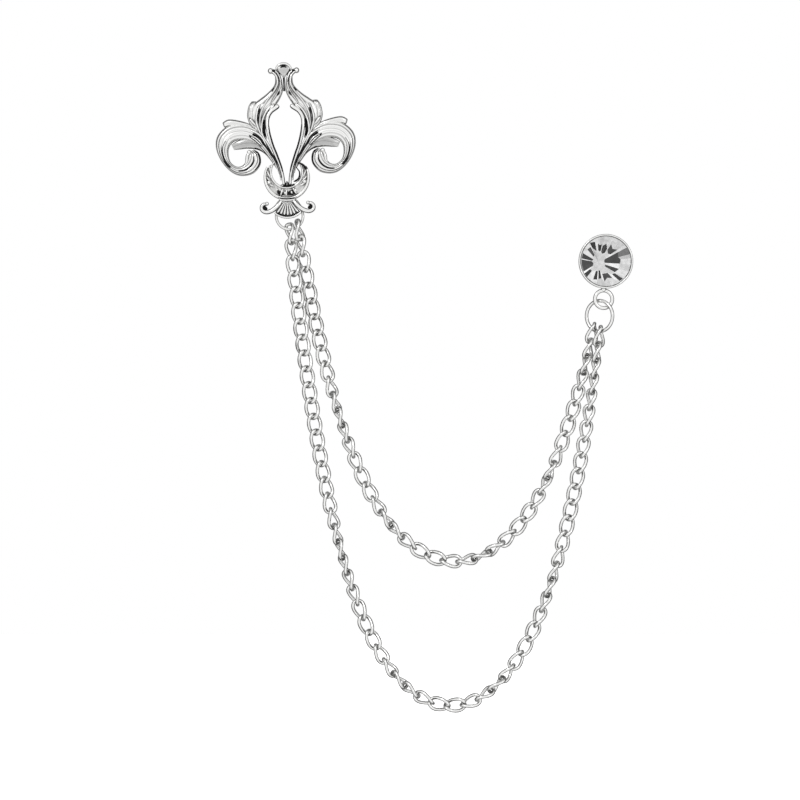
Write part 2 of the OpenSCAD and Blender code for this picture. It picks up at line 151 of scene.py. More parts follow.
def curve_through(rows, steps):
    """Smooth rows between the given rows of numbers, the same number of steps for each span."""
    smooth = []
    last = len(rows) - 1
    for i in range(last):
        a, b, c, d = rows[max(i - 1, 0)], rows[i], rows[i + 1], rows[min(i + 2, last)]
        for k in range(steps):
            t = k / steps
            smooth.append([curve_point(*values, t) for values in zip(a, b, c, d)])
    smooth.append(list(rows[last]))
    return smooth


def laid_sheet(name, stations, across, height_at, mark_at, back=0.0):
    """A closed piece of relief: a grid laid between two edges, extruded forward and raised to height_at.

    A station starts with x, z of one edge, x, z of the other, and its crest height. height_at and mark_at
    take the place across, 0 to 1, and the station.
    """
    bpy.ops.object.select_all(action="DESELECT")
    count = len(stations) - 1
    bpy.ops.mesh.primitive_grid_add(x_subdivisions=across, y_subdivisions=count, size=1)
    piece = bpy.context.object
    piece.name = name
    mesh = piece.data
    mark = mesh.attributes.new("tarnish_and_painted_shade", "FLOAT", "POINT")
    place_of = {}
    for vertex in mesh.vertices:
        u = vertex.co.x + 0.5
        i = round((vertex.co.y + 0.5) * count)
        s = stations[i]
        vertex.co = (
            (s[0] + (s[2] - s[0]) * u) * mm,
            -back * mm,
            (s[1] + (s[3] - s[1]) * u) * mm,
        )
        mark.data[vertex.index].value = mark_at(u, s)
        place_of[vertex.co.x, vertex.co.z] = (u, i)
    bpy.ops.object.mode_set(mode="EDIT")
    bpy.ops.mesh.select_all(action="SELECT")
    bpy.ops.mesh.extrude_region_move(TRANSFORM_OT_translate={"value": (0, -first_rise * mm, 0)})
    bpy.ops.object.mode_set(mode="OBJECT")
    for vertex in mesh.vertices:
        if vertex.select:
            u, i = place_of[vertex.co.x, vertex.co.z]
            vertex.co.y = -height_at(u, stations[i]) * mm
    bpy.ops.object.mode_set(mode="EDIT")
    bpy.ops.mesh.select_all(action="SELECT")
    bpy.ops.mesh.normals_make_consistent(inside=False)
    bpy.ops.object.mode_set(mode="OBJECT")
    return piece


def leaf(name, rows, valleys, depth, steps=5, per_flute=7, dark=0.0, line=0.09, edge=edge_height,
         back=0.0, painted_edge_shade=(0, 0), grey=0.0):
    """A fluted leaf; valleys are the places across it, 0 to 1, where two flutes meet."""
    borders = [0.0, *valleys, 1.0]

    def flute(u):
        for low, high in zip(borders, borders[1:]):
            if u <= high + 1e-9:
                return math.sin(math.pi * min(max((u - low) / (high - low), 0), 1)) ** flute_round
        return 0.0

    def height_at(u, s):
        swell = max(math.sin(math.pi * u), 0) ** swell_round
        return edge + (s[4] - edge) * swell * (1 - depth * (1 - flute(u)) * (1 if 0 < u < 1 else 0))

    # Painted shade: dark lines in the valleys, for tarnish and for the shade that lies in them, and along the
    # edges
    def mark_at(u, s):
        width = math.hypot(s[2] - s[0], s[3] - s[1])
        shade = grey
        for valley in valleys:
            shade = max(shade, dark * math.exp(-((u - valley) * width / line) ** 2))
        for border, strength in zip((0, 1), painted_edge_shade):
            shade = max(shade, strength * math.exp(-((u - border) * width / (line * line_fade)) ** 2))
        return shade

    stations = curve_through(rows, steps)
    return laid_sheet(name, stations, per_flute * (len(valleys) + 1), height_at, mark_at, back)


def ridge(name, rows, steps=6, across=10, back=0.0, flat=0.9, painted_edge_shade=(0, 0), dark=0.0):
    """A round-backed ridge along a path, from rows of [x, z, half width, crest]."""
    path = curve_through(rows, steps)
    stations = []
    for i, (x, z, half, crest) in enumerate(path):
        ahead = path[min(i + 1, len(path) - 1)]
        behind = path[max(i - 1, 0)]
        way = Vector((ahead[0] - behind[0], ahead[1] - behind[1])).normalized()
        half = max(half, least_half)
        stations.append([x - way.y * half, z + way.x * half, x + way.y * half, z - way.x * half, crest, half])

    def height_at(u, s):
        return s[4] - s[5] * flat * (1 - math.sqrt(max(1 - (2 * u - 1) ** 2, 0)))

    # Painted shade along the ridge's edges, and over the whole ridge by its dark value
    def mark_at(u, s):
        shade = dark
        for border, strength in zip((0, 1), painted_edge_shade):
            shade = max(shade, strength * math.exp(-((u - border) * 2 * s[5] / ridge_line) ** 2))
        return shade

    return laid_sheet(name, stations, across, height_at, mark_at, back)


def shade_strip(name, rows, height, back):
    """A nearly flat strip painted dark as painted shade: a shadow line, or the shaded ground between two
    ridges, from rows of [x, z, half width].
    """
    return ridge(name, [[*row[:3], height] for row in rows], steps=5, across=4, back=back, flat=0.1, dark=1.0)


def bead(name, x, z, r, crest):
    """A cast bead that stands on the back: a ball whose rear half is drawn back to it."""
    bpy.ops.object.select_all(action="DESELECT")
    bpy.ops.mesh.primitive_uv_sphere_add(segments=20, ring_count=12, radius=r * mm,
                                         location=(x * mm, -(crest - r) * mm, z * mm))
    piece = bpy.context.object
    piece.name = name
    bpy.ops.object.transform_apply(location=True, rotation=False, scale=False)
    piece.data.attributes.new("tarnish_and_painted_shade", "FLOAT", "POINT")
    for vertex in piece.data.vertices:
        if vertex.co.y > -(crest - r) * mm + 1e-7:
            vertex.co.y = min(-bead_foot * mm, vertex.co.y + (crest - r) * mm * bead_drawn)
    return piece


# Columns: inner edge x, inner edge z, outer edge x, outer edge z, crest height
petal_rows = [
    [3.6, 8.6, 4.3, 9.0, 1.6],
    [4.0, 10.4, 5.6, 11.0, 2.0],
    [3.9, 12.4, 6.7, 13.0, 2.1],
    [3.5, 14.2, 6.8, 15.2, 2.2],
    [2.6, 15.8, 6.2, 16.9, 2.3],
    [1.55, 16.9, 5.1, 17.8, 2.3],
    [0.85, 18.0, 3.7, 18.8, 2.2],
    [0.3, 19.3, 2.5, 19.9, 2.2],
    [0.3, 20.7, 1.85, 20.9, 2.2],
    [0.5, 22.0, 1.75, 22.2, 2.1],
    [1.0, 23.3, 1.9, 22.7, 1.9],
    [2.2, 23.9, 2.4, 23.1, 1.6],
]
petal_lobe_rows = [
    [4.7, 10.6, 5.3, 10.4, 1.5],
    [5.5, 12.4, 6.7, 12.2, 1.9],
    [6.0, 14.0, 7.5, 14.1, 2.1],
    [6.0, 15.6, 7.45, 15.7, 2.1],
    [5.7, 16.9, 7.1, 16.8, 1.9],
    [5.75, 17.5, 6.55, 17.5, 1.4],
]
scroll_rows = [
    [2.0, 3.9, 1.35, 4.4, 1.6],
    [3.1, 5.6, 2.3, 6.7, 1.9],
    [4.6, 7.5, 3.6, 9.4, 2.1],
    [6.3, 9.1, 5.4, 11.8, 2.3],
    [8.4, 9.9, 8.0, 13.1, 2.3],
    [10.3, 9.6, 11.2, 12.9, 2.4],
    [11.3, 8.5, 13.5, 11.0, 2.5],
    [11.5, 7.0, 14.0, 8.6, 2.5],
    [11.1, 5.5, 13.1, 5.9, 2.4],
    [10.0, 4.6, 11.3, 3.7, 2.4],
    [8.9, 4.7, 9.2, 2.7, 2.4],
    [8.1, 5.5, 6.7, 3.1, 2.5],
    [7.75, 6.4, 5.15, 4.9, 2.5],
    [7.6, 7.0, 5.3, 6.8, 2.3],
    [7.5, 7.3, 6.4, 7.9, 1.8],
]
scroll_lobe_rows = [
    [5.4, 10.9, 5.0, 11.4, 1.6],
    [7.1, 12.0, 6.9, 12.9, 2.0],
    [9.1, 12.5, 9.0, 13.7, 2.2],
    [11.0, 12.7, 11.2, 14.05, 2.1],
    [12.1, 12.5, 12.4, 13.5, 1.7],
    [12.35, 12.8, 12.45, 13.1, 1.1],
]
inner_leaf_rows = [
    [2.7, 5.0, 2.6, 6.2, 1.5],
    [4.2, 6.9, 3.8, 8.6, 1.7],
    [5.8, 7.85, 5.4, 9.8, 1.8],
    [7.6, 8.1, 7.4, 10.3, 1.8],
    [9.2, 8.0, 9.4, 9.8, 1.7],
    [10.4, 7.95, 10.9, 9.0, 1.3],
]
# Columns: x, z, half width, crest height
inner_stem_rows = [
    [0.6, 0.7, 0.3, 2.6],
    [0.82, 2.6, 0.3, 2.7],
    [1.35, 4.8, 0.3, 2.8],
    [2.05, 6.6, 0.3, 2.9],
    [2.6, 8.2, 0.31, 2.9],
    [3.15, 10.1, 0.33, 2.9],
    [3.5, 11.7, 0.35, 2.9],
    [3.6, 13.3, 0.38, 2.8],
    [3.35, 14.5, 0.4, 2.7],
    [2.75, 15.4, 0.4, 2.6],
    [1.95, 16.0, 0.42, 2.5],
    [1.42, 16.38, 0.42, 2.4],
    [1.16, 16.56, 0.2, 2.2],
]
second_stem_rows = [
    [1.15, 1.6, 0.16, 2.4],
    [1.4, 3.4, 0.17, 2.5],
    [2.1, 5.5, 0.18, 2.6],
    [2.95, 7.6, 0.19, 2.7],
    [3.6, 8.9, 0.19, 2.7],
    [4.3, 10.1, 0.18, 2.7],
    [4.72, 11.2, 0.18, 2.6],
    [4.68, 12.5, 0.2, 2.5],
    [4.4, 13.95, 0.2, 2.5],
    [3.75, 15.3, 0.2, 2.5],
    [2.9, 16.3, 0.2, 2.4],
    [2.2, 16.75, 0.14, 2.2],
]
scroll_vein_rows = [
    [1.5, 3.0, 0.12, 2.3],
    [2.0, 4.6, 0.14, 2.4],
    [2.9, 6.5, 0.18, 2.5],
    [3.9, 8.4, 0.2, 2.7],
    [4.7, 10.1, 0.22, 2.8],
    [5.6, 11.0, 0.22, 2.8],
    [6.9, 11.7, 0.18, 2.5],
]
petal_veins = [
    [[4.4, 9.8, 0.12, 2.4], [5.3, 11.8, 0.2, 2.6], [5.75, 13.6, 0.24, 2.7], [5.5, 15.4, 0.22, 2.6],
     [4.9, 16.9, 0.12, 2.4]],
    [[4.3, 10.4, 0.1, 2.3], [4.95, 12.4, 0.16, 2.6], [4.95, 14.4, 0.2, 2.8], [4.2, 16.4, 0.22, 2.9],
     [3.0, 18.2, 0.2, 2.9], [1.9, 19.6, 0.2, 2.9], [1.3, 20.9, 0.22, 2.9], [1.45, 22.3, 0.24, 2.8],
     [2.0, 23.1, 0.28, 2.6], [2.6, 23.4, 0.3, 2.4]],
    [[2.9, 16.6, 0.1, 2.3], [2.1, 17.9, 0.16, 2.6], [1.2, 19.2, 0.18, 2.7], [0.7, 20.6, 0.2, 2.7],
     [0.8, 22.0, 0.22, 2.7], [1.4, 23.2, 0.22, 2.5]],
]
foot_volute_rows = [
    [1.2, -2.5, 0.3, 2.1],
    [1.9, -3.4, 0.42, 2.4],
    [3.0, -4.35, 0.44, 2.4],
    [4.2, -4.72, 0.42, 2.4],
    [5.06, -4.38, 0.38, 2.3],
    [5.2, -3.65, 0.34, 2.3],
    [4.75, -3.15, 0.32, 2.3],
    [4.2, -3.2, 0.28, 2.2],
]

half = []
half.append(leaf("petal", petal_rows, [0.34, 0.62], depth=0.15, dark=0.34, line=0.07))
half.append(leaf("petal_lobe", petal_lobe_rows, [0.3, 0.55, 0.8], depth=0.14, dark=0.45, line=0.06,
                 back=0.01, painted_edge_shade=(0.45, 0.3)))
half.append(leaf("scroll", scroll_rows, [0.26, 0.52, 0.78], depth=0.2, back=0.02, dark=0.42, line=0.1))
half.append(leaf("scroll_lobe", scroll_lobe_rows, [0.42], depth=0.12, dark=0.25, back=0.03,
                 painted_edge_shade=(0.45, 0.3)))
half.append(leaf("inner_leaf", inner_leaf_rows, [0.5], depth=0.12, dark=0.5, back=0.04, grey=0.36,
                 painted_edge_shade=(0.35, 0.35)))

# Columns: name, rows, how far its back stands off the casting's, how much painted shade darkens its two edges
for name, rows, back, painted_edge_shade in (
    ("inner_stem", inner_stem_rows, 0.0, (1.0, 0.0)),
    ("second_stem", second_stem_rows, 0.01, (0.0, 0.0)),
    ("scroll_vein", scroll_vein_rows, 0.02, (0.0, 0.0)),
    ("slot_ridge_upper", [[4.65, 8.75, 0.08, 2.6], [5.15, 9.5, 0.14, 2.85], [5.85, 10.15, 0.14, 2.85],
                          [6.6, 10.6, 0.07, 2.6]], 0.07, (0.0, 0.0)),
    ("slot_ridge_lower", [[4.8, 8.55, 0.08, 2.6], [5.4, 9.15, 0.14, 2.85], [6.1, 9.8, 0.14, 2.85],
                          [6.9, 10.35, 0.07, 2.6]], 0.08, (0.0, 0.0)),
    ("small_tip", [[5.6, 12.4, 0.15, 2.3], [6.3, 13.1, 0.3, 2.45], [6.85, 13.8, 0.28, 2.45],
                   [7.05, 14.15, 0.1, 2.2]], 0.22, (0.6, 0.6)),
    ("foot_volute", foot_volute_rows, 0.02, (0.8, 0.5)),
    ("curl_stem", [[0.75, 20.6, 0.2, 2.1], [0.95, 21.6, 0.3, 2.3], [1.3, 22.6, 0.36, 2.4],
                   [1.75, 23.3, 0.36, 2.4], [2.5, 23.55, 0.3, 2.3]], 0.13, (0.3, 0.6)),
    ("curl_inner", [[7.3, 7.35, 0.2, 2.4], [7.7, 6.7, 0.3, 2.5], [7.85, 6.0, 0.32, 2.5],
                    [7.95, 5.4, 0.26, 2.4], [8.3, 4.95, 0.12, 2.2]], 0.16, (0.4, 0.4)),
    ("spur_lobe", [[3.3, 14.9, 0.15, 2.3], [2.85, 15.7, 0.25, 2.4], [2.35, 16.4, 0.25, 2.4],
                   [2.1, 16.75, 0.14, 2.2]], 0.15, (0.5, 0.3)),
):
    half.append(ridge(name, rows, back=back, painted_edge_shade=painted_edge_shade))
for k, rows in enumerate(petal_veins):
    half.append(ridge(f"petal_vein_{k}", rows, back=0.03 + 0.01 * k, painted_edge_shade=(0.4, 0.4),
                      dark=0.12 * k))

# Strips of painted shade, where a wall, a hollow or a valley between ridges lies in shadow
# Columns: name, rows of [x, z, half width], height, how far its back stands off the casting's
for name, rows, height, back in (
    ("stem_shade_strip", [[3.72, 9.9, 0.04], [3.9, 10.5, 0.1], [4.08, 11.2, 0.14], [4.14, 12.0, 0.15],
                     [4.1, 12.9, 0.1], [4.02, 13.6, 0.03]], 2.7, 0.05),
    ("scroll_shade_strip", [[1.2, 2.0, 0.03], [1.43, 3.1, 0.05], [1.83, 4.5, 0.11], [2.25, 5.7, 0.19],
                       [2.7, 6.5, 0.25], [3.42, 7.46, 0.19], [4.15, 8.7, 0.16], [4.74, 9.73, 0.08],
                       [5.64, 10.45, 0.07], [6.55, 10.94, 0.04]], 2.9, 0.06),
    ("opening_line", [[0.68, 3.2, 0.06], [1.02, 4.4, 0.14], [1.8, 6.7, 0.17], [2.5, 8.6, 0.16],
                      [3.08, 10.9, 0.13], [3.26, 12.6, 0.05]], 2.95, 0.17),
    ("slot_line", [[4.9, 8.4, 0.05], [5.5, 8.95, 0.08], [6.1, 9.5, 0.08], [7.3, 10.6, 0.04]], 2.75, 0.07),
    ("petal_line", [[5.03, 16.0, 0.02], [5.15, 14.7, 0.04], [5.3, 13.2, 0.02]], 2.9, 0.075),
    ("scroll_line", [[11.9, 9.7, 0.03], [12.5, 8.8, 0.06], [12.75, 7.7, 0.07], [12.6, 6.5, 0.09],
                     [12.2, 5.6, 0.16], [11.8, 5.0, 0.27], [11.4, 4.6, 0.22], [11.15, 4.35, 0.06]],
     2.7, 0.09),
    ("curl_side", [[6.3, 7.7, 0.06], [5.6, 7.2, 0.13], [5.27, 6.3, 0.17], [5.27, 5.3, 0.18],
                   [5.65, 4.4, 0.14], [6.3, 3.7, 0.05]], 2.2, 0.1),
    ("curl_line", [[9.6, 3.55, 0.04], [8.3, 3.75, 0.08], [7.1, 4.6, 0.13], [6.5, 5.7, 0.1],
                   [6.6, 6.7, 0.05]], 2.55, 0.11),
    ("volute_hollow", [[4.15, -4.25, 0.25], [4.5, -3.95, 0.42], [4.8, -3.6, 0.25]], 1.9, 0.12),
    ("neck_spot", [[0.9, 19.35, 0.08], [1.1, 18.95, 0.22], [1.4, 18.45, 0.08]], 2.8, 0.14),
    ("outer_spot", [[1.95, 20.05, 0.05], [2.2, 19.75, 0.14], [2.55, 19.45, 0.05]], 2.5, 0.18),
    ("curl_top_line", [[2.25, 23.45, 0.12], [1.75, 23.1, 0.08], [1.1, 22.2, 0.07], [0.7, 21.1, 0.04]],
     2.75, 0.19),
    ("ball_spot", [[1.65, 23.4, 0.06], [1.95, 23.46, 0.14], [2.2, 23.44, 0.06]], 2.9, 0.2),
):
    half.append(shade_strip(name, rows, height, back))

# Columns: name, x, z, radius, crest height
for name, x, z, r, crest in (
    ("petal_curl", 2.6, 23.45, 0.55, 2.7),
    ("scroll_curl", 7.35, 7.35, 0.45, 2.5),
    ("volute_tip", 4.1, -3.05, 0.36, 2.5),
    ("collar_bead", 3.55, 1.18, 0.42, 2.5),
    ("horn_bead", 3.0, 4.4, 0.3, 2.2),
):
    half.append(bead(name, x, z, r, crest))


# The crescent collar is a sunk band between two polished rims, with small chased leaves in it. Below it
# stand the neck bar and the shell, a fan of ribs with a rim, and on top a bud between the two curls.
def arc(cz, r, start, end, half_width, crest, taper, count=12):
    """Rows of a ridge on an arc about x = 0; the angles are in degrees, from straight down, anticlockwise."""
    rows = []
    for i in range(count + 1):
        t = i / count
        turn = math.radians(start + (end - start) * t)
        slim = 1 - taper * abs(2 * t - 1) ** 3
        rows.append([r * math.sin(turn), cz - r * math.cos(turn), half_width * slim, crest])
    return rows


collar_centre = 2.2
collar_r = 4.7
hole_centre = 3.2
hole_r = 2.93
band_steps = 24
band_reach = 128
band_inner_r = hole_r * 1.02
band_outer_r = collar_r - 0.25
horn_slimming = 0.55
middle = []
band_rows = []
for i in range(band_steps + 1):
    t = 2 * i / band_steps - 1
    turn = math.radians(band_reach * t)
    outer_r = band_outer_r - horn_slimming * abs(t) ** 6
    band_rows.append([band_inner_r * math.sin(turn), hole_centre - band_inner_r * math.cos(turn),
                      outer_r * math.sin(turn), collar_centre - outer_r * math.cos(turn), 1.7])
middle.append(leaf("collar_band", band_rows, [0.5], depth=0.15, steps=2, per_flute=4, dark=0.3, line=0.7,
                   back=0.03, grey=0.1))
middle.append(ridge("collar_outer_rim", arc(collar_centre, collar_r - 0.34, -118, 118, 0.34, 2.2, 0.5, 24),
                    steps=3, back=0.01))
middle.append(ridge("collar_inner_rim", arc(hole_centre, hole_r + 0.22, -136, 136, 0.22, 2.15, 0.4, 24),
                    steps=3, back=0.02))
# Painted shade on the band's sunk ground among the chased leaves
middle.append(shade_strip("collar_ground_left", arc(collar_centre, 3.5, -34, -10, 0.36, 0, 0.5, 8), 1.95, 0.035))
middle.append(shade_strip("collar_ground_right", arc(collar_centre, 3.3, 4, 28, 0.5, 0, 0.5, 8), 2.0, 0.045))

chased_count = 7
chased_step = 12
# Rows of a chased leaf: half width and crest height, from its foot to its tip
chased_shape = [[0.1, 2.0], [0.18, 2.15], [0.2, 2.15], [0.08, 1.9]]
for k in range(chased_count):
    turn = math.radians((k - chased_count // 2) * chased_step + (4 if k % 3 else -3))
    near, far = (2.45, 3.95) if k % 2 else (2.85, 3.6)
    rows = []
    for t, (half_width, crest) in enumerate(chased_shape):
        reach = near + (far - near) * t / 3
        rows.append([reach * math.sin(turn), collar_centre - reach * math.cos(turn), half_width, crest])
    middle.append(ridge(f"collar_leaf_{k}", rows, steps=3, across=6, back=0.04))

vine_centre = 2.35
vine_start = 52
vine_step = 17
vine_bend = 0.12
vine_foot = 3.2
vine_length = 0.8
for side in (-1, 1):
    for k in range(4):
        turn = math.radians(side * (vine_start + vine_step * k))
        rows = []
        for t, half_width in enumerate((0.1, 0.2, 0.2, 0.1)):
            reach = vine_foot + vine_length * t / 3
            bend = turn + side * vine_bend * t
            rows.append([reach * math.sin(bend), vine_centre - reach * math.cos(bend), half_width, 2.0])
        middle.append(ridge(f"collar_vine_{side}_{k}", rows, steps=3, across=6, back=0.04,
                            painted_edge_shade=(0.3, 0.3)))

# Painted shade: the shadow on the right horn's tip, the shaded inner wall on the right of the hole, and a
# shade line at the stem's foot
middle.append(shade_strip("horn_shadow", [[2.5, 5.0, 0.12], [3.3, 4.5, 0.2], [4.15, 3.7, 0.2]], 2.8, 0.05))
middle.append(shade_strip("hole_line", [[1.9, 4.1, 0.06], [2.5, 3.3, 0.13], [2.6, 2.6, 0.15],
                                   [2.37, 1.85, 0.16], [1.85, 1.4, 0.17], [1.35, 1.25, 0.06]], 2.4, 0.08))
middle.append(shade_strip("stem_line", [[-1.2, 0.7, 0.03], [-0.7, 0.52, 0.04], [0, 0.45, 0.05],
                                   [0.8, 0.52, 0.07], [1.5, 0.8, 0.04]], 2.85, 0.09))
middle.append(ridge("stem_base", [[0, 0.3, 0.4, 1.7], [0, 1.0, 0.28, 1.6], [0, 1.4, 0.06, 1.5]],
                    back=0.07, dark=0.4))

shell_top = -2.0
shell_r = 4.1
plate_steps = 12
plate_reach = 40
plate_foot = (0.9, 0.5)
plate_rim = (3.95, 3.75)
plate_rows = []
for i in range(plate_steps + 1):
    turn = math.radians(plate_reach * (2 * i / plate_steps - 1))
    plate_rows.append([plate_foot[0] * math.sin(turn), shell_top - plate_foot[1] * math.cos(turn),
                       plate_rim[0] * math.sin(turn), shell_top - plate_rim[1] * math.cos(turn), 1.4])
# The shell's ground between its ribs is painted grey as painted shade, and darker at its edges
middle.append(leaf("shell_plate", plate_rows, [], depth=0, steps=2, per_flute=6, back=0.03,
                   painted_edge_shade=(0.5, 0.5), grey=0.55))

rib_count = 7
rib_step = 11.2
rib_spread = 1.08
# Rows of a rib: reach from the shell's top, half width, crest height
rib_shape = [[0.7, 0.06, 2.0], [1.6, 0.12, 2.1], [2.5, 0.19, 2.1], [3.2, 0.26, 2.05], [3.6, 0.16, 1.9]]
for k in range(rib_count):
    turn = math.radians((k - rib_count // 2) * rib_step)
    rows = []
    for reach, half_width, crest in rib_shape:
        rows.append([rib_spread * reach * math.sin(turn), shell_top - reach * math.cos(turn),
                     half_width, crest])
    middle.append(ridge(f"shell_rib_{k}", rows, steps=3, across=6, back=0.04))
middle.append(ridge("shell_rim", arc(shell_top, shell_r - 0.2, -42, 42, 0.22, 2.1, 0.2, 14), steps=3,
                    back=0.02))
# A painted shadow line inside the shell's rim
middle.append(shade_strip("shell_line", arc(shell_top, 3.64, -37, 37, 0.05, 0, 0.6), 2.2, 0.08))
middle.append(ridge("neck_bar", [[-1.5, -2.3, 0.16, 2.3], [-0.7, -2.42, 0.2, 2.4], [0, -2.45, 0.2, 2.4],
                                 [0.7, -2.42, 0.2, 2.4], [1.5, -2.3, 0.16, 2.3]], back=0.01))
# A painted shadow line between the collar and the neck bar
middle.append(shade_strip("collar_line", [[-1.9, -1.85, 0.04], [-1.0, -2.08, 0.08], [0, -2.14, 0.08],
                                     [1.0, -2.08, 0.08], [1.9, -1.85, 0.04]], 2.45, 0.07))
# The right drape is painted darker than the left as painted shade, and both get painted shade along their
# edges
for side, spread, tone in ((-1, 0.0, 0.0), (1, 0.16, 0.3)):
    drape_rows = [
        [side * 1.15, -2.2, side * (1.5 + spread), -2.2, 1.9],
        [side * 1.6, -2.95, side * (2.05 + spread), -2.75, 2.1],
        [side * 2.15, -3.75, side * (2.6 + spread), -3.6, 2.2],
        [side * 2.75, -4.45, side * (3.15 + spread), -4.35, 2.0],
        [side * 3.3, -4.85, side * (3.6 + spread), -4.7, 1.7],
    ]
    middle.append(leaf(f"drape_{side}", drape_rows, [0.4], depth=0.2, dark=0.4, back=0.05,
                       painted_edge_shade=(1.0, 0.4), grey=tone))

bud_rows = [
    [-0.1, 22.0, 0.1, 22.0, 1.7],
    [-0.6, 22.7, 0.6, 22.7, 2.2],
    [-1.15, 23.35, 1.15, 23.35, 2.3],
    [-1.4, 23.9, 1.4, 23.9, 2.3],
    [-1.15, 24.5, 1.15, 24.5, 2.1],
    [-0.4, 24.95, 0.4, 24.95, 1.6],
]
middle.append(leaf("bud", bud_rows, [], depth=0, per_flute=10, edge=2.05, back=0.02, grey=0.3))
middle.append(ridge("bud_hood", [[-1.6, 23.45, 0.12, 2.2], [-1.4, 24.05, 0.2, 2.4],
                                 [-0.8, 24.65, 0.24, 2.5], [0, 24.85, 0.24, 2.5], [0.8, 24.65, 0.24, 2.5],
                                 [1.4, 24.05, 0.2, 2.4], [1.6, 23.45, 0.12, 2.2]], back=0.03))
# Painted shade in the bud's hollow and on the web below the bud
middle.append(shade_strip("bud_hollow", [[-0.6, 24.08, 0.04], [0, 24.38, 0.18], [0.6, 24.08, 0.04]], 2.5, 0.04))
middle.append(shade_strip("neck_web", [[0, 19.4, 0.2], [0, 20.6, 0.16], [0, 21.6, 0.2], [0, 22.2, 0.2]],
                     1.5, 0.02))
middle.append(ridge("stem_web", [[-0.9, 0.1, 0.35, 1.5], [0, 0.1, 0.4, 1.5], [0.9, 0.1, 0.35, 1.5]],
                    back=0.02))

# The staple behind the shell, which the ring hangs in, with its hole along X
staple_z = -2.95
staple_widened = 1.6
bpy.ops.object.select_all(action="DESELECT")
bpy.ops.mesh.primitive_torus_add(major_radius=0.85 * mm, minor_radius=0.3 * mm, major_segments=32,
                                 minor_segments=12, location=(0, 0.5 * mm, staple_z * mm))
staple = bpy.context.object
staple.name = "staple"
bpy.ops.object.transform_apply(location=True, rotation=False, scale=False)
for vertex in staple.data.vertices:
    across = vertex.co.x
    vertex.co.x = (vertex.co.z - staple_z * mm) * staple_widened
    vertex.co.z = across + staple_z * mm
staple.data.attributes.new("tarnish_and_painted_shade", "FLOAT", "POINT")
middle.append(staple)


def joined(name, pieces):
    """One object out of several, each of whose parts keeps its own closed skin."""
    bpy.ops.object.select_all(action="DESELECT")
    for piece in pieces:
        piece.select_set(True)
    bpy.context.view_layer.objects.active = pieces[0]
    bpy.ops.object.join()
    pieces[0].name = name
    pieces[0].data.name = name
    return pieces[0]


def turned_out(piece):
    """Normals recalculated to point out of the piece."""
    bpy.ops.object.select_all(action="DESELECT")
    piece.select_set(True)
    bpy.context.view_layer.objects.active = piece
    bpy.ops.object.mode_set(mode="EDIT")
    bpy.ops.mesh.select_all(action="SELECT")
    bpy.ops.mesh.normals_make_consistent(inside=False)
    bpy.ops.object.mode_set(mode="OBJECT")


right_half = joined("right_half", half)
bpy.ops.object.select_all(action="DESELECT")
right_half.select_set(True)
bpy.context.view_layer.objects.active = right_half
bpy.ops.object.duplicate()
left_half = bpy.context.object
for vertex in left_half.data.vertices:
    vertex.co.x = -vertex.co.x
casting = joined("fleur_casting_relief", [right_half, left_half, *middle])
turned_out(casting)
casting.data.transform(Matrix.Translation((0, -standoff * mm, 0)) @ Matrix.Rotation(-lean, 4, "Y"))
bpy.ops.object.shade_smooth_by_angle(angle=math.radians(50))


recess_tilt = math.radians(50)
recess_rays = 6
ray_lift = 0.02 * mm
open_share = 0.2
recess_gain = 1.2
back_facing = 0.3
back_mark = 0.2


def mark_recesses(piece, reach, strength):
    """Adds painted shade, which also stands for tarnish in hollows, to the mark where the surface around a
    point shades it, and keeps the back bright.
    """
    mesh = piece.data
    vertices = [v.co.copy() for v in mesh.vertices]
    faces = [tuple(p.vertices) for p in mesh.polygons]
    tree = BVHTree.FromPolygons(vertices, faces)
    mark = mesh.attributes["tarnish_and_painted_shade"]
    fan = [(0.0, 0.0)] + [(recess_tilt, math.radians(360 * k / recess_rays)) for k in range(recess_rays)]
    for vertex in mesh.vertices:
        normal = vertex.normal
        if normal.y > back_facing:
            mark.data[vertex.index].value = min(mark.data[vertex.index].value, back_mark)
            continue
        side = normal.orthogonal().normalized()
        other = normal.cross(side)
        hits = 0
        for tilt, turn in fan:
            ray = normal * math.cos(tilt) + (side * math.cos(turn) + other * math.sin(turn)) * math.sin(tilt)
            if tree.ray_cast(vertex.co + normal * ray_lift, ray, reach)[0] is not None:
                hits += 1
        shade = strength * max(hits / len(fan) - open_share, 0) * recess_gain
        mark.data[vertex.index].value = min(max(mark.data[vertex.index].value, shade), 1.0)


# Painted shade, with tarnish, in the casting's recesses and under its overlapping leaves
mark_recesses(casting, reach=0.8 * mm, strength=0.8)


# Silver plate: bright and slightly uneven, darker where the mark says that a valley keeps it from the
# polishing mop, and darker too where the mark paints shade into valleys, recesses and along edges. The same
# group of wear and painted shade serves the cast and the wire, each with its own values.
wear_and_shade = bpy.data.node_groups.new("plate_wear_and_shade", "ShaderNodeTree")
wear_and_shade.interface.new_socket("Scale", in_out="INPUT", socket_type="NodeSocketFloat")
wear_and_shade.interface.new_socket("Tarnish_and_painted_shade", in_out="INPUT", socket_type="NodeSocketFloat")
wear_and_shade.interface.new_socket("Dark", in_out="OUTPUT", socket_type="NodeSocketFloat")
wear_and_shade.interface.new_socket("Relief", in_out="OUTPUT", socket_type="NodeSocketFloat")
wear_and_shade_in = wear_and_shade.nodes.new("NodeGroupInput")
wear_and_shade_out = wear_and_shade.nodes.new("NodeGroupOutput")
wear_place = wear_and_shade.nodes.new("ShaderNodeTexCoord")
wear_noise = wear_and_shade.nodes.new("ShaderNodeTexNoise")
wear_noise.inputs["Detail"].default_value = 3
wear_and_shade.links.new(wear_place.outputs["Object"], wear_noise.inputs["Vector"])
wear_and_shade.links.new(wear_and_shade_in.outputs["Scale"], wear_noise.inputs["Scale"])
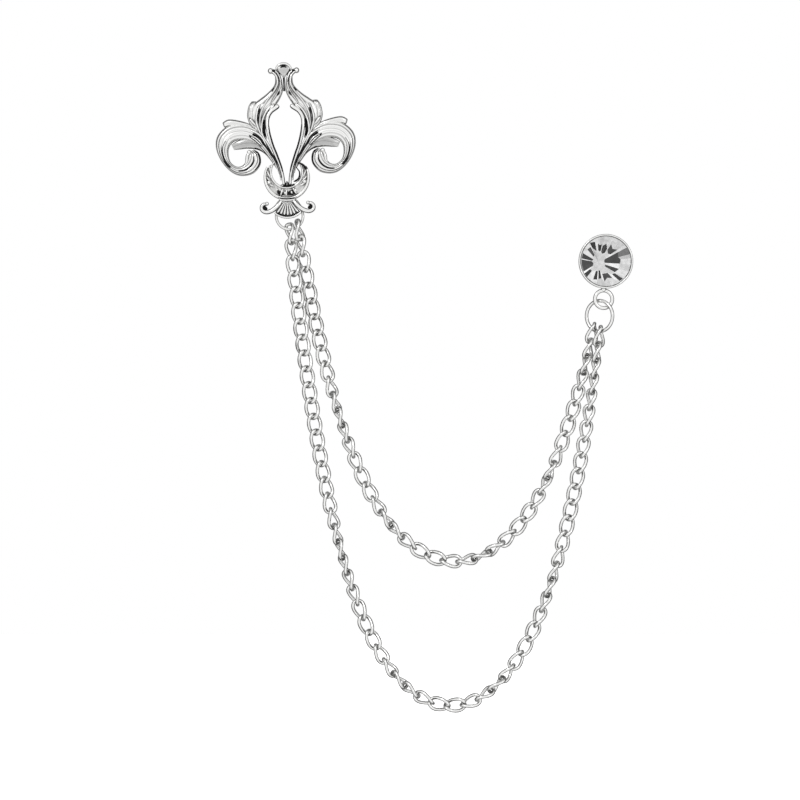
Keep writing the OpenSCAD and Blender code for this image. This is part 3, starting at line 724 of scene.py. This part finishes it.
uneven = wear_and_shade.nodes.new("ShaderNodeMath")
uneven.operation = "MULTIPLY_ADD"
uneven.inputs[1].default_value = 0.5
uneven.inputs[2].default_value = 0.75
wear_and_shade.links.new(wear_noise.outputs["Fac"], uneven.inputs[0])
darkened = wear_and_shade.nodes.new("ShaderNodeMath")
darkened.operation = "MULTIPLY"
darkened.use_clamp = True
wear_and_shade.links.new(wear_and_shade_in.outputs["Tarnish_and_painted_shade"], darkened.inputs[0])
wear_and_shade.links.new(uneven.outputs[0], darkened.inputs[1])
wear_and_shade.links.new(darkened.outputs[0], wear_and_shade_out.inputs["Dark"])
wear_and_shade.links.new(wear_noise.outputs["Fac"], wear_and_shade_out.inputs["Relief"])


def silver(name, colour, dark_colour, rough, dark_rough, scale, relief):
    """Plated silver whose mark of tarnish and painted shade leads from the bright to the dark colour and
    roughness.
    """
    material = bpy.data.materials.new(name)
    material.use_nodes = True
    tree = material.node_tree
    shader = tree.nodes["Principled BSDF"]
    shader.inputs["Metallic"].default_value = 1.0
    mark = tree.nodes.new("ShaderNodeAttribute")
    mark.attribute_name = "tarnish_and_painted_shade"
    plate = tree.nodes.new("ShaderNodeGroup")
    plate.node_tree = wear_and_shade
    plate.inputs["Scale"].default_value = scale
    tree.links.new(mark.outputs["Fac"], plate.inputs["Tarnish_and_painted_shade"])
    tone = tree.nodes.new("ShaderNodeValToRGB")
    tone.color_ramp.elements[0].position = 0.12
    tone.color_ramp.elements[0].color = (*colour, 1)
    tone.color_ramp.elements[1].position = 0.72
    tone.color_ramp.elements[1].color = (*dark_colour, 1)
    tree.links.new(plate.outputs["Dark"], tone.inputs["Fac"])
    tree.links.new(tone.outputs["Color"], shader.inputs["Base Color"])
    gloss = tree.nodes.new("ShaderNodeMapRange")
    gloss.inputs["To Min"].default_value = rough
    gloss.inputs["To Max"].default_value = dark_rough
    tree.links.new(plate.outputs["Dark"], gloss.inputs["Value"])
    tree.links.new(gloss.outputs["Result"], shader.inputs["Roughness"])
    bump = tree.nodes.new("ShaderNodeBump")
    bump.inputs["Strength"].default_value = relief
    bump.inputs["Distance"].default_value = 0.05 * mm
    tree.links.new(plate.outputs["Relief"], bump.inputs["Height"])
    tree.links.new(bump.outputs["Normal"], shader.inputs["Normal"])
    return material


cast_silver = silver("cast_silver", (0.93, 0.93, 0.92), (0.02, 0.02, 0.02), 0.17, 0.4, 900, 0.25)
casting.data.materials.clear()
casting.data.materials.append(cast_silver)
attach(casting, "root")
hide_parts("fleur_casting")


# The brooch's hidden post, soldered to a round pad on the back: turned steel, plated, with two grooves
# near its coned end that a clutch snaps into.
wire_silver = silver("wire_silver", (0.89, 0.89, 0.88), (0.04, 0.04, 0.04), 0.16, 0.4, 1400, 0.3)


def turned_piece(name, profile, centre, steps=48):
    """A profile of [radius, y] points spun round the Y axis through centre, closed at its poles."""
    bpy.ops.object.select_all(action="DESELECT")
    bpy.ops.mesh.primitive_circle_add(vertices=len(profile), radius=mm, fill_type="NOTHING")
    piece = bpy.context.object
    piece.name = name
    for vertex, (r, y) in zip(piece.data.vertices, profile):
        vertex.co = (r * mm, y * mm, 0)
    bpy.ops.object.mode_set(mode="EDIT")
    bpy.ops.mesh.select_all(action="SELECT")
    bpy.ops.mesh.spin(steps=steps, angle=math.tau, center=(0, 0, 0), axis=(0, 1, 0))
    bpy.ops.mesh.select_all(action="SELECT")
    bpy.ops.mesh.remove_doubles(threshold=0.0005 * mm)
    bpy.ops.mesh.select_all(action="SELECT")
    bpy.ops.mesh.dissolve_degenerate(threshold=0.0003 * mm)
    bpy.ops.mesh.select_all(action="SELECT")
    bpy.ops.mesh.normals_make_consistent(inside=False)
    bpy.ops.object.mode_set(mode="OBJECT")
    piece.data.transform(Matrix.Translation((centre[0] * mm, 0, centre[1] * mm)))
    piece.data.attributes.new("tarnish_and_painted_shade", "FLOAT", "POINT")
    bpy.ops.object.shade_smooth_by_angle(angle=math.radians(40))
    return piece


pad_y = -standoff + 0.06
grooves = [(0.5, 5.6), (0.42, 5.7), (0.42, 5.9), (0.5, 6.0), (0.5, 6.4), (0.42, 6.5), (0.42, 6.7), (0.5, 6.8)]
post_profile = [
    (0.0, pad_y), (1.1, pad_y), (1.2, pad_y + 0.08), (1.2, pad_y + 0.4), (1.1, pad_y + 0.5),
    (0.75, pad_y + 0.52), (0.58, pad_y + 0.62), (0.5, pad_y + 0.85), *grooves,
    (0.5, 7.26), (0.3, 7.75), (0.12, 8.02), (0.0, 8.05),
]
brooch_post = turned_piece("brooch_post_turned", post_profile, (0, 0))
brooch_post.data.materials.append(wire_silver)
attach(brooch_post, "root")
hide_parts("brooch_post")


# The two jump rings, bent from round wire: their ends meet in a fine butt joint. The brooch's ring hangs
# behind the shell with its lower side a little forward, and the stud's ring is turned on its loop.
joint_angle = math.radians(40)
joint_reach = 0.012
joint_waist = 0.93


def wire_loop(name, centre, depth, r, wire, turn=0.0, tilt=0.0):
    """A closed ring of round wire that stands in the view plane, then is turned and tilted."""
    bpy.ops.object.select_all(action="DESELECT")
    bpy.ops.mesh.primitive_torus_add(major_radius=r * mm, minor_radius=wire / 2 * mm, major_segments=120,
                                     minor_segments=20, rotation=(math.pi / 2, 0, 0))
    piece = bpy.context.object
    piece.name = name
    bpy.ops.object.transform_apply(location=False, rotation=True, scale=False)
    mark = piece.data.attributes.new("tarnish_and_painted_shade", "FLOAT", "POINT")
    for vertex in piece.data.vertices:
        angle = math.atan2(vertex.co.z, vertex.co.x)
        if abs(angle - joint_angle) < joint_reach:
            mark.data[vertex.index].value = 1.0
            core = Vector((math.cos(angle), 0, math.sin(angle))) * r * mm
            vertex.co = core + (vertex.co - core) * joint_waist
    piece.data.transform(
        Matrix.Translation((centre[0] * mm, depth * mm, centre[1] * mm))
        @ Matrix.Rotation(math.radians(-turn), 4, "Z")
        @ Matrix.Rotation(math.radians(-tilt), 4, "X")
    )
    bpy.ops.object.shade_smooth()
    return piece


brooch_ring = wire_loop("brooch_ring_wire", (0.48, -5.6), depth=-1.19, r=2.67, wire=0.55, tilt=4)
brooch_ring.data.materials.append(wire_silver)
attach(brooch_ring, "root")
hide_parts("brooch_ring")

stud_ring = wire_loop("stud_ring_wire", (62.5, -25.6), depth=-2.07, r=3.07, wire=0.72, turn=34)
stud_ring.data.materials.append(wire_silver)
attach(stud_ring, "root")
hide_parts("stud_ring")


# The two strands of curb chain. Each link is a loop of round wire, twisted a quarter turn from end to end,
# and the links interlock. A strand hangs in a catenary between its two rings and turns about its own line.
link_pitch = 3.2
link_wire = 0.6
shown_wire = 0.7
link_width = 3.0
link_play = 0.22
link_twist = math.radians(-90)
link_roundness = 0.8
half_length = (link_pitch + link_wire + link_play) / 2
half_width = (link_width - link_wire) / 2
blank_r = 2 * mm
tangent_step = 0.02


def blunt(v):
    """A sine or cosine squared off a little, which gives the link its straight flanks."""
    return math.copysign(abs(v) ** link_roundness, v)


def link_centre(t):
    """A point on the middle of the link's wire, in mm, with the strand along X."""
    across = half_width * blunt(math.sin(t))
    twist = link_twist / 2 * blunt(math.cos(t))
    return Vector((half_length * blunt(math.cos(t)), across * math.cos(twist), across * math.sin(twist)))


bpy.ops.object.select_all(action="DESELECT")
bpy.ops.mesh.primitive_torus_add(major_radius=blank_r, minor_radius=shown_wire / 2 * mm, major_segments=32,
                                 minor_segments=12)
master_link = bpy.context.object
master_link.name = "link"
for vertex in master_link.data.vertices:
    t = math.atan2(vertex.co.y, vertex.co.x)
    outward = math.hypot(vertex.co.x, vertex.co.y) - blank_r
    rise = vertex.co.z
    along = (link_centre(t + tangent_step) - link_centre(t - tangent_step)).normalized()
    twist = link_twist / 2 * blunt(math.cos(t))
    rough = Vector((0, -math.sin(twist), math.cos(twist)))
    up = (rough - along * rough.dot(along)).normalized()
    out = along.cross(up)
    vertex.co = link_centre(t) * mm + up * rise + out * outward
master_link.data.attributes.new("tarnish_and_painted_shade", "FLOAT", "POINT")
turned_out(master_link)
bpy.ops.object.shade_smooth()


def eased(table, s):
    """Smooth step between the rows [place, value] of a table."""
    if s <= table[0][0]:
        return table[0][1]
    for (a, low), (b, high) in zip(table, table[1:]):
        if s <= b:
            t = (s - a) / (b - a)
            return low + (high - low) * t * t * (3 - 2 * t)
    return table[-1][1]


def straight(table, s):
    """Straight line between the rows [place, value] of a table."""
    for (a, low), (b, high) in zip(table, table[1:]):
        if s <= b:
            return low + (high - low) * (s - a) / (b - a)
    return table[-1][1]


def catenary_joints(start, end, links, depths):
    """The joints of a strand of links that hangs between two seats."""
    length = links * link_pitch
    h, v = end[0] - start[0], end[1] - start[1]
    ratio = math.sqrt(length * length - v * v) / h
    low, high = 0.01, 20.0
    for halving in range(50):
        mid = (low + high) / 2
        if math.sinh(mid) / mid < ratio:
            low = mid
        else:
            high = mid
    size = h / (2 * mid)
    lowest = (start[0] + end[0]) / 2 - size * math.log((length + v) / (length - v)) / 2
    first = size * math.sinh((start[0] - lowest) / size)
    base = start[1] - size * math.cosh((start[0] - lowest) / size)
    joints = []
    for i in range(links + 1):
        x = lowest + size * math.asinh((first + i * link_pitch) / size)
        joints.append(Vector((x, eased(depths, i), base + size * math.cosh((x - lowest) / size))))
    return joints


def strand(name, start, end, links, rolls, depths):
    """Copies of the link from joint to joint, each with its own mesh, joined into one piece."""
    joints = catenary_joints(start, end, links, depths)
    made = []
    for i in range(links):
        a, b = joints[i], joints[i + 1]
        ax = (b - a).normalized()
        side = ax.cross(Vector((0, -1, 0))).normalized()
        front = side.cross(ax)
        place = Matrix((
            (ax.x, side.x, front.x, (a.x + b.x) / 2 * mm),
            (ax.y, side.y, front.y, (a.y + b.y) / 2 * mm),
            (ax.z, side.z, front.z, (a.z + b.z) / 2 * mm),
            (0, 0, 0, 1),
        ))
        link = master_link.copy()
        link.data = master_link.data.copy()
        bpy.context.collection.objects.link(link)
        link.data.transform(place @ Matrix.Rotation(math.radians(straight(rolls, i + 0.5)), 4, "X"))
        made.append(link)
    piece = joined(name, made)
    # Painted shade, with tarnish, where the links overlap and shade each other
    mark_recesses(piece, reach=0.8 * mm, strength=0.6)
    piece.data.materials.append(wire_silver)
    return piece


# Columns: how many links from the brooch, and there the links' turn about the strand in degrees, or the
# joints' y in mm
outer_links = 60
inner_links = 43
outer_rolls = [[0, 108], [1, 103], [2, 169], [3, 160], [4, 176], [8, 180], [14, 182], [17.5, 212],
               [20.5, 274], [23.5, 308], [26, 360], [30, 455], [37, 650], [40, 732], [43.5, 808],
               [47.5, 898], [50.5, 918], [53.5, 942], [56, 974], [58, 983], [outer_links, 1034]]
inner_rolls = [[0, 81], [1, 71], [2, 154], [3, 147], [4, 183], [5, 172], [7, 190], [9, 198],
               [11.5, 258], [12.5, 278], [15, 312], [23, 536], [28, 668], [35.5, 880], [37.5, 925],
               [39, 946], [41, 1001], [inner_links, 1041]]
outer_depths = [[0, -1.3], [1, -1.8], [3, -2.85], [6, -2.9], [9, -1.7], [50, -1.7], [54, -2.0],
                [57, -2.7], [outer_links, -2.23]]
inner_depths = [[0, -1.4], [1, -1.65], [2, -1.35], [4, -1.08], [6, -1.12], [8, -1.35], [11, -1.7],
                [34, -1.7], [38, -1.38], [41, -1.47], [inner_links, -1.32]]
outer_seats = ((0.42, -7.58), (62.7, -28.1))
inner_seats = ((2.09, -6.81), (61.45, -27.47))
chain_outer = strand("chain_outer_links", *outer_seats, outer_links, outer_rolls, outer_depths)
chain_inner = strand("chain_inner_links", *inner_seats, inner_links, inner_rolls, inner_depths)
bpy.data.objects.remove(master_link)
for piece, node in ((chain_outer, "chain_outer"), (chain_inner, "chain_inner")):
    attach(piece, "root")
    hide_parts(node)


# The stud's setting: a turned cup whose thin rim is closed over the stone, with a post soldered behind it
# and a small wire loop soldered under it.
stud_at = (63.74, -14.66)
loop_at = (63.3, -22.25)
loop_y = -2.4
solder_z = -20.29
cup_r = 5.45
cup_profile = [
    (0.0, -0.1), (3.1, -0.1), (3.25, -0.16), (4.95, -0.86), (5.3, -1.1), (cup_r, -1.6), (cup_r, -3.38),
    (5.42, -3.5), (5.33, -3.58), (5.22, -3.6), (5.14, -3.56), (5.12, -3.4), (5.13, -2.3), (2.0, -1.0),
    (0.0, -1.0),
]
cup = turned_piece("cup", cup_profile, stud_at, steps=96)
stud_post_profile = [
    (0.0, -0.4), (0.95, -0.4), (0.95, -0.06), (0.7, 0.02), (0.56, 0.18), (0.5, 0.4), *grooves,
    (0.5, 7.2), (0.3, 7.7), (0.12, 7.97), (0.0, 8.0),
]
stud_post = turned_piece("stud_post", stud_post_profile, stud_at)
stud_loop = wire_loop("stud_loop", loop_at, depth=loop_y, r=1.76, wire=0.78, turn=-8)
bpy.ops.object.select_all(action="DESELECT")
bpy.ops.mesh.primitive_uv_sphere_add(segments=24, ring_count=16, radius=0.55 * mm,
                                     location=(loop_at[0] * mm, loop_y * mm, solder_z * mm))
solder = bpy.context.object
solder.name = "solder"
bpy.ops.object.transform_apply(location=True, rotation=False, scale=False)
solder.data.attributes.new("tarnish_and_painted_shade", "FLOAT", "POINT")
bpy.ops.object.shade_smooth()
setting = joined("stone_setting_cup", [cup, stud_post, stud_loop, solder])
setting.data.materials.clear()
setting.data.materials.append(cast_silver)
# Painted shade, with tarnish, in the setting's recesses
mark_recesses(setting, reach=0.9 * mm, strength=0.8)
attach(setting, "root")
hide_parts("stone_setting")


# The crystal: a round cut stone with a foil behind it. Its crown slopes from a flat table to the girdle, and
# its facets are painted white, grey or nearly black, as painted reflection of the flashes that the foil
# gives;
# the stone sits a little turned in its cup.
stone_r = 5.1
girdle_y = -3.3
table_reach = 2.6
crown_rise = 1.5
girdle_rise = 0.25
girdle_width = 0.14
rim_margin = 0.2
pavilion_depth = 1.2
# Painted reflection tones of the girdle and of the middle of the table
girdle_flash = 0.45
heart_flash = 0.7
heart = (-1.54, -0.29)
# Columns: where a facet starts in degrees round the heart, how far its inner and outer corner stand from the
# heart in mm, its own painted reflection tone and the painted reflection tone of the facet outside it
facet_rows = [
    [-3, 1.3, 4.3, 0.05, 0.8], [8, 1.2, 4.5, 0.05, 0.6], [15, 1.2, 4.1, 0.06, 0.2],
    [28, 1.4, 4.4, 0.85, 0.9], [34, 2.9, 4.6, 0.05, 0.72], [44, 2.6, 3.9, 0.07, 0.8],
    [55, 3.1, 4.5, 0.9, 0.75], [57, 2.3, 3.2, 0.015, 0.8], [67, 1.9, 4.1, 0.03, 0.78],
    [76, 2.2, 3.4, 0.85, 0.7], [79, 2.4, 3.7, 0.01, 0.72], [85, 2.2, 3.5, 0.02, 0.8],
    [91, 2.5, 3.8, 0.9, 0.85], [99, 2.3, 4.2, 0.01, 0.85], [113, 3.2, 4.5, 1.1, 0.7],
    [116, 1.7, 3.5, 0.075, 0.9], [130, 1.5, 3.4, 0.9, 0.8], [148, 1.2, 3.6, 0.045, 0.6],
    [166, 1.3, 3.7, 1.1, 0.8], [169, 1.3, 3.5, 0.055, 0.6], [190, 1.0, 3.5, 0.065, 0.6],
    [211, 1.3, 3.7, 1.1, 0.9], [218, 2.1, 4.0, 0.03, 0.24], [232, 2.1, 4.1, 0.8, 0.75],
    [253, 1.8, 3.5, 0.025, 0.75], [266, 1.7, 3.4, 1.1, 0.6], [270, 1.6, 3.3, 0.025, 0.6],
    [281, 1.6, 3.2, 0.85, 0.6], [288, 2.4, 4.0, 0.05, 0.62], [300, 2.5, 3.5, 0.06, 0.72],
    [312, 2.8, 4.2, 0.92, 0.7], [319, 3.6, 5.6, 0.04, 0.6], [327, 3.9, 5.9, 0.9, 0.62],
    [329, 1.5, 3.8, 0.05, 0.8], [343, 1.4, 4.3, 0.9, 0.66],
]
facet_count = len(facet_rows)
inset_step = 0.6


def crown_height(x, z):
    """How far the crown stands over the girdle at a place on the stone."""
    reach = math.hypot(x, z)
    if reach <= table_reach:
        return crown_rise
    return crown_rise - (crown_rise - girdle_rise) * (reach - table_reach) / (stone_r - table_reach)


def rim_reach(turn):
    """Distance from the heart to the stone's rim in a direction."""
    along = heart[0] * math.cos(turn) + heart[1] * math.sin(turn)
    return math.sqrt(along ** 2 - heart[0] ** 2 - heart[1] ** 2 + stone_r ** 2) - along


bpy.ops.object.select_all(action="DESELECT")
bpy.ops.mesh.primitive_circle_add(vertices=facet_count, radius=stone_r * mm, fill_type="NGON",
                                  rotation=(math.pi / 2, 0, 0))
crystal = bpy.context.object
crystal.name = "crystal_cut"
bpy.ops.object.transform_apply(location=False, rotation=True, scale=False)
bpy.ops.object.mode_set(mode="EDIT")
bpy.ops.mesh.select_all(action="SELECT")
for ring in range(3):
    bpy.ops.mesh.inset(thickness=inset_step * mm)
bpy.ops.mesh.poke()
bpy.ops.object.mode_set(mode="OBJECT")

# Rings of corners, outermost first: the rim, the girdle's inner edge, the outer and the inner corners. Each
# corner is known by the ring and the column in which the insets left it.
places = []
first_turn = math.atan2(crystal.data.vertices[0].co.z, crystal.data.vertices[0].co.x)
for vertex in crystal.data.vertices:
    ring = round((stone_r - math.hypot(vertex.co.x, vertex.co.z) / mm) / inset_step)
    turn = math.atan2(vertex.co.z, vertex.co.x) - first_turn
    column = round(turn / math.tau * facet_count) % facet_count
    if ring > 3:
        x, z = heart
        rise = crown_rise
    else:
        row = facet_rows[column]
        turn = math.radians(row[0])
        rim = rim_reach(turn)
        reach = (rim, rim - girdle_width, min(row[2], rim - rim_margin), row[1])[ring]
        x = heart[0] + reach * math.cos(turn)
        z = heart[1] + reach * math.sin(turn)
        rise = crown_height(x, z) if ring else 0.0
    places.append((ring, column))
    vertex.co = (x * mm, (girdle_y - rise) * mm, z * mm)

flash_tones = crystal.data.attributes.new("tone", "FLOAT", "FACE")
for polygon in crystal.data.polygons:
    corners = [places[v] for v in polygon.vertices]
    ring = max(corner[0] for corner in corners)
    columns = [corner[1] for corner in corners if corner[0] < 4]
    row = facet_rows[max(columns) if max(columns) - min(columns) > 1 else min(columns)]
    flash_tones.data[polygon.index].value = (girdle_flash, girdle_flash, row[4], row[3], heart_flash)[min(ring, 4)]

# Behind the girdle the foiled back of the stone goes straight back into the cup and is closed flat
bpy.ops.object.mode_set(mode="EDIT")
bpy.ops.mesh.select_all(action="DESELECT")
bpy.ops.mesh.select_mode(type="EDGE")
bpy.ops.mesh.select_non_manifold()
bpy.ops.mesh.extrude_region_move(TRANSFORM_OT_translate={"value": (0, pavilion_depth * mm, 0)})
bpy.ops.mesh.edge_face_add()
bpy.ops.mesh.select_all(action="SELECT")
bpy.ops.mesh.normals_make_consistent(inside=False)
bpy.ops.mesh.select_mode(type="VERT")
bpy.ops.object.mode_set(mode="OBJECT")
crystal.data.transform(Matrix.Translation((stud_at[0] * mm, 0, stud_at[1] * mm)))

foiled_crystal = bpy.data.materials.new("foiled_crystal")
foiled_crystal.use_nodes = True
tree = foiled_crystal.node_tree
shader = tree.nodes["Principled BSDF"]
shader.inputs["Coat Weight"].default_value = 0.3
shader.inputs["Specular IOR Level"].default_value = 0.25
shader.inputs["Coat Roughness"].default_value = 0.03
shader.inputs["Roughness"].default_value = 0.25
# Each facet's painted reflection tone goes into the base colour
facet_flash = tree.nodes.new("ShaderNodeAttribute")
facet_flash.attribute_name = "tone"
place = tree.nodes.new("ShaderNodeTexCoord")
flaws = tree.nodes.new("ShaderNodeTexNoise")
flaws.inputs["Scale"].default_value = 1200
tree.links.new(place.outputs["Object"], flaws.inputs["Vector"])
varied = tree.nodes.new("ShaderNodeMath")
varied.operation = "MULTIPLY_ADD"
varied.inputs[1].default_value = 0.5
varied.inputs[2].default_value = 0.53
tree.links.new(flaws.outputs["Fac"], varied.inputs[0])
flash_colour = tree.nodes.new("ShaderNodeMath")
flash_colour.operation = "MULTIPLY"
flash_colour.use_clamp = True
tree.links.new(varied.outputs[0], flash_colour.inputs[0])
tree.links.new(facet_flash.outputs["Fac"], flash_colour.inputs[1])
tree.links.new(flash_colour.outputs[0], shader.inputs["Base Color"])
crystal.data.materials.append(foiled_crystal)
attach(crystal, "root")
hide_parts("crystal_stone")
